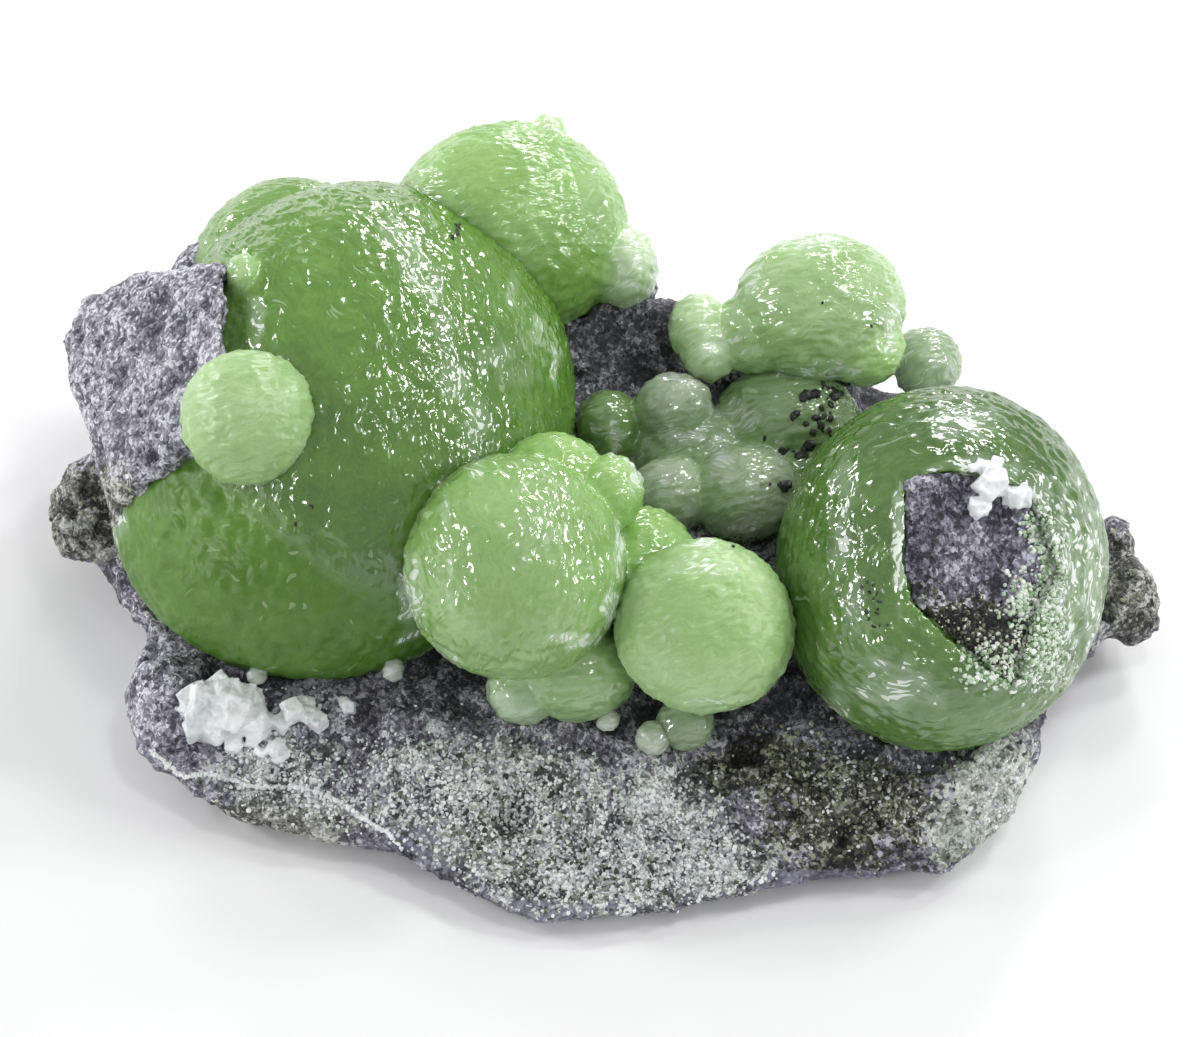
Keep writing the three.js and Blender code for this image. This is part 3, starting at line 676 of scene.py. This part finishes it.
# The rock's own form gets sharp ridges of two sizes, small bumps, and pits where it is olive.
basaltRock = {
    "finish": basaltMaterial("speckled_basalt"), "slot": "basalt", "node": "basalt_matrix",
    "mesh": 0.46,
    "ridges": [  # size, seed, height, crest, slope
        (4.2, 1, 1.3, 0.5, 1.6), (1.7, 2, 0.7, 0.4, 1.5),
    ],
    "bumps": (0.8, 4, 0.42),  # size, seed, height
    "pits": (2.1, 9, 3.4),  # size, seed, depth
}


def patchWeight(points, places, wander):
    across, up = asSeen(points)
    weight = np.zeros(len(points))
    for place in places:
        reach = reachOf(across, up, place) + 0.45 * wander
        weight = np.maximum(weight, np.clip(1.5 - reach, 0, 1))
    return weight


def dressedBasalt(name, piece):
    bm = bmesh.new()
    bm.from_mesh(bpy.data.objects[piece["node"]].data)
    bmesh.ops.transform(bm, matrix=Matrix.Scale(1000, 4), verts=bm.verts)
    bmesh.ops.remove_doubles(bm, verts=bm.verts, dist=0.001)
    made = newObject(name, bm)
    remeshed(made, piece["mesh"])
    smoothed(made, 5)
    points = perVertex(made, "co")
    wander = noiseAt(points, 4.5, 7)
    weights = {}
    for kind, patch in basaltPatches.items():
        weights[kind] = patchWeight(points, patch["places"], wander)
        attribute(made, kind, weights[kind])
    rough = 0
    for size, seed, height, crest, slope in piece["ridges"]:
        rough = rough + height * (crest - np.abs(noiseAt(points, size, seed)) * slope)
    size, seed, height = piece["bumps"]
    rough = rough + height * noiseAt(points, size, seed)
    size, seed, depth = piece["pits"]
    pits = np.clip(-noiseAt(points, size, seed) - 0.16, 0, 1) * depth
    pits = pits * np.clip(weights["olive"] + 0.25, 0, 1)
    evenness = 1 - 0.65 * np.maximum(weights["smooth"], 0.6 * weights["knob"])
    offTable = np.clip((points[:, 2] - 0.15) / 0.8, 0, 1)  # the underside stays flat
    rise = ((rough - 0.6) * 0.55 * evenness - pits) * offTable
    # painted shade in the pits and hollows and painted light on the ridges, as a colour share
    attribute(made, "relief", np.clip((rough - 0.35) * 0.9 * evenness - pits, -1, 1))
    moved = points + perVertex(made, "normal") * rise[:, None]
    moved[:, 2] = np.maximum(moved[:, 2], 0)
    setPlaces(made, moved)
    remember(made)
    finished(made, piece["finish"], piece["slot"], piece["node"])


dressedBasalt("basalt_rock", basaltRock)


# Small crystals and grains. The druse and the crust are glassy and pale, the olive and black
# grains are weathered rock, dull and dark, and the milky crystals are clouded right through.
def grainMaterial(name, roughness, stops):
    material, tree, shader, place = newMaterial(name)
    tone = addNode(tree, "Attribute", attribute_name="tone").outputs["Fac"]
    mottle, height = [
        addNode(tree, "TexNoise", {"Vector": place, "Scale": scale, "Detail": 3, "Roughness": 0.55})
        for scale in (1.7, 3)
    ]
    mottle = addNode(tree, "Math", {0: mottle, 1: 0.5}, operation="SUBTRACT")
    shade = addNode(tree, "Math", {0: mottle, 1: 0.5, 2: tone}, operation="MULTIPLY_ADD")
    colour = addNode(tree, "ValToRGB", {"Fac": shade}, stops)
    bump = addNode(tree, "Bump", {"Height": height, "Strength": 0.5, "Distance": 0.0002})
    setInputs(tree, shader, {
        "Base Color": colour, "Roughness": roughness, "IOR": 1.55, "Normal": bump,
    })
    return material


darkSpecks = grainMaterial("dark_specks", 0.45, [
    (0, "0d0f0b"), (0.6, "2c3324"), (1, "56604a"),
])
whiteDruse = grainMaterial("white_druse_grains", 0.3, [
    (0, "80828a"), (0.35, "c0c5c8"), (1, "fcfdfd"),
])
paleCrust = grainMaterial("pale_green_crust", 0.3, [
    (0, "6f8f60"), (0.4, "b9cfb0"), (1, "fafcf9"),
])
oliveRock = grainMaterial("olive_rock_grains", 0.5, [
    (0, "15160f"), (0.5, "4c4e3e"), (1, "a6aa94"),
])
blackRock = grainMaterial("black_rock_grains", 0.5, [
    (0, "0b0b0c"), (0.6, "24251f"), (0.82, "6d7159"), (1, "dfe4d6"),
])
milkyWhite = grainMaterial("milky_white_crystal", 0.22, [
    (0.2, "b4bdb6"), (0.6, "dfe4e6"), (1, "fafbfd"),
])

# Beds of grains: the pieces that they lie on, their sizes in millimetres, how light they are, and
# where they are as seen: across, up, half width, half height, how many.
grainScatter = 0.55  # of half the width and height, the spread of a normal distribution
grainHeight, grainRise = 0.75, 0.04  # of a grain's size, as are the next ones
grainWidths = (0.6, 1.5)
grainsAtOnce = 50
beds = {
    "white_grains_0": {
        "finish": whiteDruse, "slot": "white_calcite", "hosts": ("basalt_rock",),
        "sizes": (0.16, 0.42), "tones": (0, 1), "spots": [
            (-10, -25, 8, 4.6, 1500), (-1, -31, 11, 3.6, 1500), (5, -28, 6, 5, 950),
            (10, -31, 4, 2.4, 300), (-29.5, -22.6, 5, 2.6, 420), (-25, -25.6, 4, 1.6, 160),
            (-17, -22, 3, 2, 160), (35.6, -25, 4, 5, 300), (22, -24, 8, 5, 220),
            (-40, 16, 9, 10, 160), (-30, -18, 7, 3, 200), (4, -25, 2, 1, 110),
            (-20, -23, 9, 5, 320),
        ],
    },
    "crust_grains_1": {
        "finish": paleCrust, "slot": "white_calcite",
        "hosts": ("basalt_rock", "right_prehnite_ball"),
        "sizes": (0.2, 0.5), "tones": (0, 1), "spots": [
            (40, -6.6, 1.4, 6.4, 700), (38, -12.6, 3, 2.4, 460), (34.8, -13.8, 2.4, 1.2, 160),
            (38.8, -0.4, 1.2, 2.2, 200), (33.6, -12.2, 1.4, 1.6, 70), (37.8, -7.4, 1.6, 2.6, 220),
        ],
    },
    "olive_grains_2": {
        "finish": oliveRock, "slot": "basalt", "hosts": ("basalt_rock",),
        "sizes": (0.18, 0.5), "tones": (0, 1), "spots": [
            (21.5, -25.4, 7, 5, 620), (15, -22, 5, 3, 220), (47.6, -6, 3.4, 5, 90),
            (-47.4, 0.6, 4, 4, 80), (-9, -26, 8, 5, 260), (0, -31, 10, 3, 240),
        ],
    },
    "coal_grains_3": {
        "finish": blackRock, "slot": "basalt", "hosts": ("basalt_rock",),
        "sizes": (0.16, 0.44), "tones": (0, 1), "spots": [
            (31.6, -10.8, 5, 3.2, 620), (37, -13, 3, 1.6, 120),
        ],
    },
    "dark_grains_4": {
        "finish": darkSpecks, "slot": "basalt", "hosts": None,
        "sizes": (0.2, 0.42), "tones": (0, 0.6), "spots": [
            (-13.3, 26.2, 0.25, 0.7, 12), (-13.9, 25.5, 0.3, 0.2, 4), (-27.9, -0.2, 0.2, 0.15, 3),
            (-26.5, 1.3, 0.2, 0.2, 3), (19.4, 19.6, 0.15, 0.2, 2), (24, -6.2, 0.9, 0.9, 8),
            (24.2, -8.4, 0.9, 1, 8), (20, 11.6, 1.2, 1, 16), (12.6, -1.8, 2, 0.5, 14),
            (24, 17.6, 0.15, 0.15, 2), (-39.6, 5, 0.1, 0.1, 1),
        ],
    },
    "dark_grains_5": {
        "finish": darkSpecks, "slot": "basalt", "hosts": None,
        "sizes": (0.3, 1.05), "tones": (0, 0.4), "spots": [
            (17.9, 11.2, 1.1, 0.4, 7), (16.2, 6.2, 0.6, 0.5, 5), (17.8, 6, 0.5, 0.7, 6),
            (16, 3.4, 0.6, 0.3, 5), (17, 9.6, 0.3, 0.3, 3), (19.6, 8.8, 1.1, 1.6, 16),
            (14.2, 7.4, 0.2, 0.2, 1), (20.4, 11.4, 0.8, 0.5, 6),
        ],
    },
}
whiteVein = {
    "finish": whiteDruse, "slot": "white_calcite", "hosts": ("basalt_rock",), "sizes": (0.26, 0.5),
    "tones": (0.6, 1), "spacing": 0.13, "spread": 0.12,
    "path": [
        (-41, -20.6), (-38, -23), (-35.6, -22.7), (-31.7, -23.9), (-29.3, -23.9), (-26.3, -24.2),
        (-23.9, -25.3), (-21.5, -26.9), (-19.7, -28), (-18.2, -29.6),
    ],
}


def addGrain(bm, place, normal, size, rng):
    turn = Euler([rng.uniform(0, 6.28) for _ in range(3)]).to_matrix().to_4x4()
    lie = normal.to_track_quat("Z", "Y").to_matrix().to_4x4()
    length, width = [size * rng.uniform(*grainWidths) for _ in range(2)]
    stretch = Matrix.Diagonal((length, width, size * grainHeight, 1))
    matrix = Matrix.Translation(place + normal * size * grainRise) @ lie @ stretch @ turn
    bmesh.ops.create_icosphere(bm, subdivisions=1, radius=0.5, matrix=matrix)


def joinedGrains(name, piece, grains, rng):  # grains: place, normal, size, tone
    bm = bmesh.new()
    for start in range(0, len(grains), grainsAtOnce):
        few = bmesh.new()
        for place, normal, size, _ in grains[start:start + grainsAtOnce]:
            addGrain(few, place, normal, size, rng)
        addedTo(bm, few)
    made = newObject(name, bm)
    attribute(made, "tone", np.repeat([grain[3] for grain in grains], 12))  # 12 corners each
    finished(made, piece["finish"], piece["slot"], smooth=False)


def grainBed(name, bed, rng):
    grains = []
    for across, up, rx, ry, count in bed["spots"]:
        for _ in range(count):
            aside, along = rng.gauss(0, grainScatter * rx), rng.gauss(0, grainScatter * ry)
            hit = firstHit(across + aside, up + along, bed["hosts"])
            size, tone = rng.uniform(*bed["sizes"]), rng.uniform(*bed["tones"])
            if hit:
                grains.append((*hit, size, tone))
    joinedGrains(name, bed, grains, rng)


def vein(name, piece, rng):
    grains, spread = [], piece["spread"]
    for (ax, ay), (bx, by) in zip(piece["path"], piece["path"][1:]):
        steps = int(math.hypot(bx - ax, by - ay) / piece["spacing"])
        for step in range(steps):
            across = ax + (bx - ax) * step / steps + rng.uniform(-spread, spread)
            up = ay + (by - ay) * step / steps + rng.uniform(-spread, spread)
            hit = firstHit(across, up, piece["hosts"])
            if hit:
                grains.append((*hit, rng.uniform(*piece["sizes"]), rng.uniform(*piece["tones"])))
    joinedGrains(name, piece, grains, rng)


rng = random.Random(7)
for name, bed in beds.items():
    grainBed(name, bed, rng)
vein("white_vein", whiteVein, rng)


# White blunt crystals. Each heap is a mound of blocks: middle as seen, half width, half height,
# how far its middle stands out, how many blocks, and their sizes in millimetres.
ledgeCrystals = {
    "finish": milkyWhite, "slot": "white_calcite", "node": "calcite_crystals_on_ledge",
    "mesh": 0.13, "heaps": [
        (-34.4, -17.7, 3.2, 2.5, 2.2, 34, (1.8, 3)), (-27.6, -18.3, 1.7, 1.6, 1.3, 9, (1.2, 2.2)),
        (-31.2, -20.6, 3.4, 0.9, 0.5, 9, (0.8, 1.4)), (-23.6, -16.9, 0.8, 0.7, 0.3, 4, (0.7, 1.2)),
    ],
}
windowCrystals = {
    "finish": milkyWhite, "slot": "white_calcite", "node": "calcite_crystals_in_window",
    "mesh": 0.13, "heaps": [
        (34.6, 3.3, 0.5, 0.4, 0.7, 2, (2, 2.6)), (36.8, 2.2, 0.6, 0.6, 0.4, 3, (1.7, 2.3)),
        (33.6, 1.2, 0.3, 0.4, 0.2, 2, (1.4, 1.9)), (33.8, 5, 1.6, 0.4, 0, 3, (1, 1.5)),
    ],
}


def blockAt(place, size, rng):  # a block with one corner off
    block = bmesh.new()
    made = bmesh.ops.create_cube(block, size=1)["verts"]
    sides = Vector((size, size * rng.uniform(0.7, 0.95), size * rng.uniform(0.55, 0.85)))
    bmesh.ops.scale(block, vec=sides, verts=made)
    corner = Vector((sides.x, -sides.y, sides.z)) * 0.5
    whole = block.verts[:] + block.edges[:] + block.faces[:]
    bmesh.ops.bisect_plane(block, geom=whole, plane_co=corner * 0.75, plane_no=corner.normalized(),
                           clear_outer=True)
    bmesh.ops.edgeloop_fill(block, edges=[e for e in block.edges if e.is_boundary])
    turn = Euler((rng.uniform(-0.5, 0.5), rng.uniform(-0.5, 0.5), rng.uniform(0, 6.28)))
    matrix = Matrix.Translation(place) @ turn.to_matrix().to_4x4()
    bmesh.ops.transform(block, matrix=matrix, verts=block.verts)
    return block


def crystalHeaps(name, piece, rng):
    bm = bmesh.new()
    middles, tones = [], []
    for across, up, rx, ry, rise, count, sizes in piece["heaps"]:
        for _ in range(count):
            angle, reach = rng.uniform(0, 6.283), math.sqrt(rng.random())
            hit = firstHit(across + rx * reach * math.cos(angle), up + ry * reach * math.sin(angle))
            place = hit[0] + Vector((0, 0, rise * (1 - reach * reach)))
            middles.append(place)
            tones.append(rng.uniform(0.55, 1.1))
            addedTo(bm, blockAt(place, rng.uniform(*sizes), rng))
    made = newObject(name, bm)
    remeshed(made, piece["mesh"])
    smoothed(made, 3)
    points = perVertex(made, "co")
    nearest = np.linalg.norm(points[:, None] - np.array(middles)[None], axis=2).argmin(axis=1)
    attribute(made, "tone", np.array(tones)[nearest] + 0.15 * noiseAt(points, 1.2, 8))
    worn = 0.08 * noiseAt(points, 0.5, 2) + 0.14 * noiseAt(points, 1.5, 3)
    setPlaces(made, points + perVertex(made, "normal") * worn[:, None])
    finished(made, piece["finish"], piece["slot"], piece["node"])


crystalHeaps("ledge_crystals", ledgeCrystals, rng)
crystalHeaps("window_crystals", windowCrystals, rng)


# Camera, table and light

def camera():
    data = bpy.data.cameras.new("view")
    data.lens = 36 * viewDistance / viewWidth
    data.clip_start = 0.01
    made = bpy.data.objects.new("view", data)
    bpy.context.collection.objects.link(made)
    offMiddle = Vector((-0.54, 0, 0)) + upInView * 0.22  # the picture's middle pixel
    target = offMiddle + Vector((0, 0, viewMidHeight)) + originShift
    made.location = (target + towardsViewer * viewDistance) * 0.001
    made.rotation_euler = (math.pi / 2 - viewElevation, 0, 0)
    bpy.context.scene.camera = made


def floor():  # white laminate, matt
    bm = bmesh.new()
    bmesh.ops.create_grid(bm, x_segments=2, y_segments=2, size=1.5)
    made = newObject("floor", bm)
    material, tree, shader, _ = newMaterial("white_table")
    setInputs(tree, shader, {"Base Color": linear("f8f8f9"), "Roughness": 0.9})
    made.data.materials.append(material)


# Two arcs of small soft lamps, one from the back over the right and one at the left, because the
# photograph shows arcs of small highlights. Each has its side (0 viewer's, 90 right, 180 back),
# elevation and watts.
lampReach, lampSize = 0.45, 0.064  # metres
lamps = [
    (174, 16, 0.36), (156, 38, 0.36), (128, 49, 0.34), (96, 43, 0.34), (73, 18, 0.34),
    (60, 74, 0.22), (-128, 12, 0.36), (-100, 24, 0.4), (-66, 19, 0.36),
]


def softbox(name, side, elevation, power):
    data = bpy.data.lights.new(name, "AREA")
    data.shape = "RECTANGLE"
    data.size, data.size_y = lampSize, lampSize
    data.energy = power
    made = bpy.data.objects.new(name, data)
    bpy.context.collection.objects.link(made)
    turn, lift = math.radians(side), math.radians(elevation)
    level = Vector((math.sin(turn), -math.cos(turn), 0)) * math.cos(lift)
    direction = level + Vector((0, 0, math.sin(lift)))
    made.location = direction * lampReach + Vector((0, 0, 0.015))
    made.rotation_euler = direction.to_track_quat("Z", "Y").to_euler()


def studio():
    world = bpy.data.worlds.new("soft_room")
    bpy.context.scene.world = world
    world.use_nodes = True
    background = world.node_tree.nodes["Background"]
    background.inputs["Color"].default_value = (1, 1, 1, 1)
    background.inputs["Strength"].default_value = 0.5
    bpy.context.scene.view_settings.view_transform = "Standard"
    for index, lamp in enumerate(lamps):
        softbox("lamp_%d" % index, *lamp)


camera()
floor()
studio()
print("camera, table and lamps set", flush=True)
